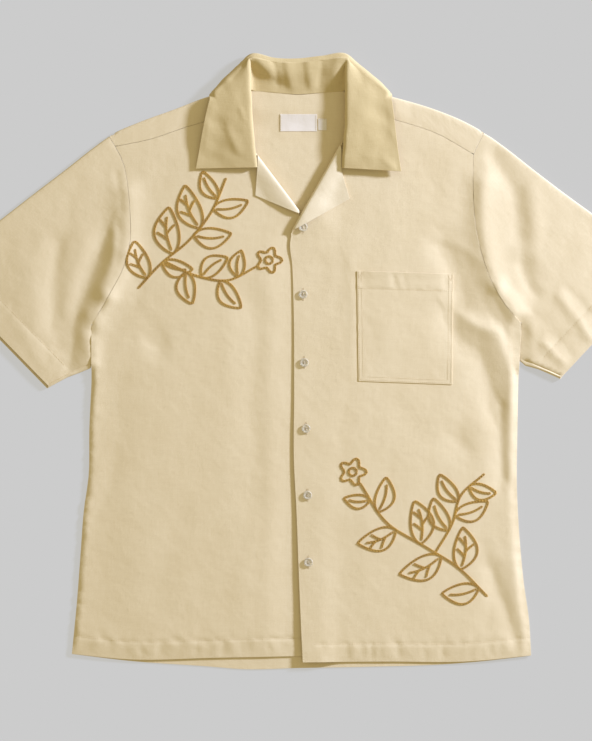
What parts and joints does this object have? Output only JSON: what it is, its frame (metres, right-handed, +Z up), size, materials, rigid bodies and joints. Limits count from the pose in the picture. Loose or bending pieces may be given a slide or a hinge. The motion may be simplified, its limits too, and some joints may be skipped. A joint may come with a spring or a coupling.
{
  "type": "camp shirt",
  "caption": "Short-sleeved camp-collar shirt laid flat, with open lapels, a buttoned front, a chest pocket and line embroidery.",
  "frame": {"origin": "on the surface that the shirt lies on, at the middle of its outline seen from above", "axes": "+X to the wearer's left, which is the picture's right, +Y from hem to neck, +Z up off the surface, towards the camera"},
  "size_m": [0.9353, 0.7916, 0.0167],
  "materials": {
    "shirt_cloth": "soft cream twill",
    "facing_cloth": "soft cream twill, a shade paler",
    "collar_cloth": "straw-coloured slubbed plain weave",
    "label": "smooth woven tape, bare",
    "button": "pearly, slightly clear"
  },
  "bodies": {
    "root": {"back": "shirt_cloth", "front_right": "shirt_cloth", "front_left": "shirt_cloth", "facing_right": "facing_cloth", "facing_left": "facing_cloth", "sleeve_right": "shirt_cloth", "sleeve_left": "shirt_cloth", "pocket": "shirt_cloth", "collar": "collar_cloth", "neck_label": "label", "size_label": "label", "button_1": "button", "button_2": "button", "button_3": "button", "button_4": "button", "button_5": "button", "button_6": "button"}
  },
  "joints": []
}
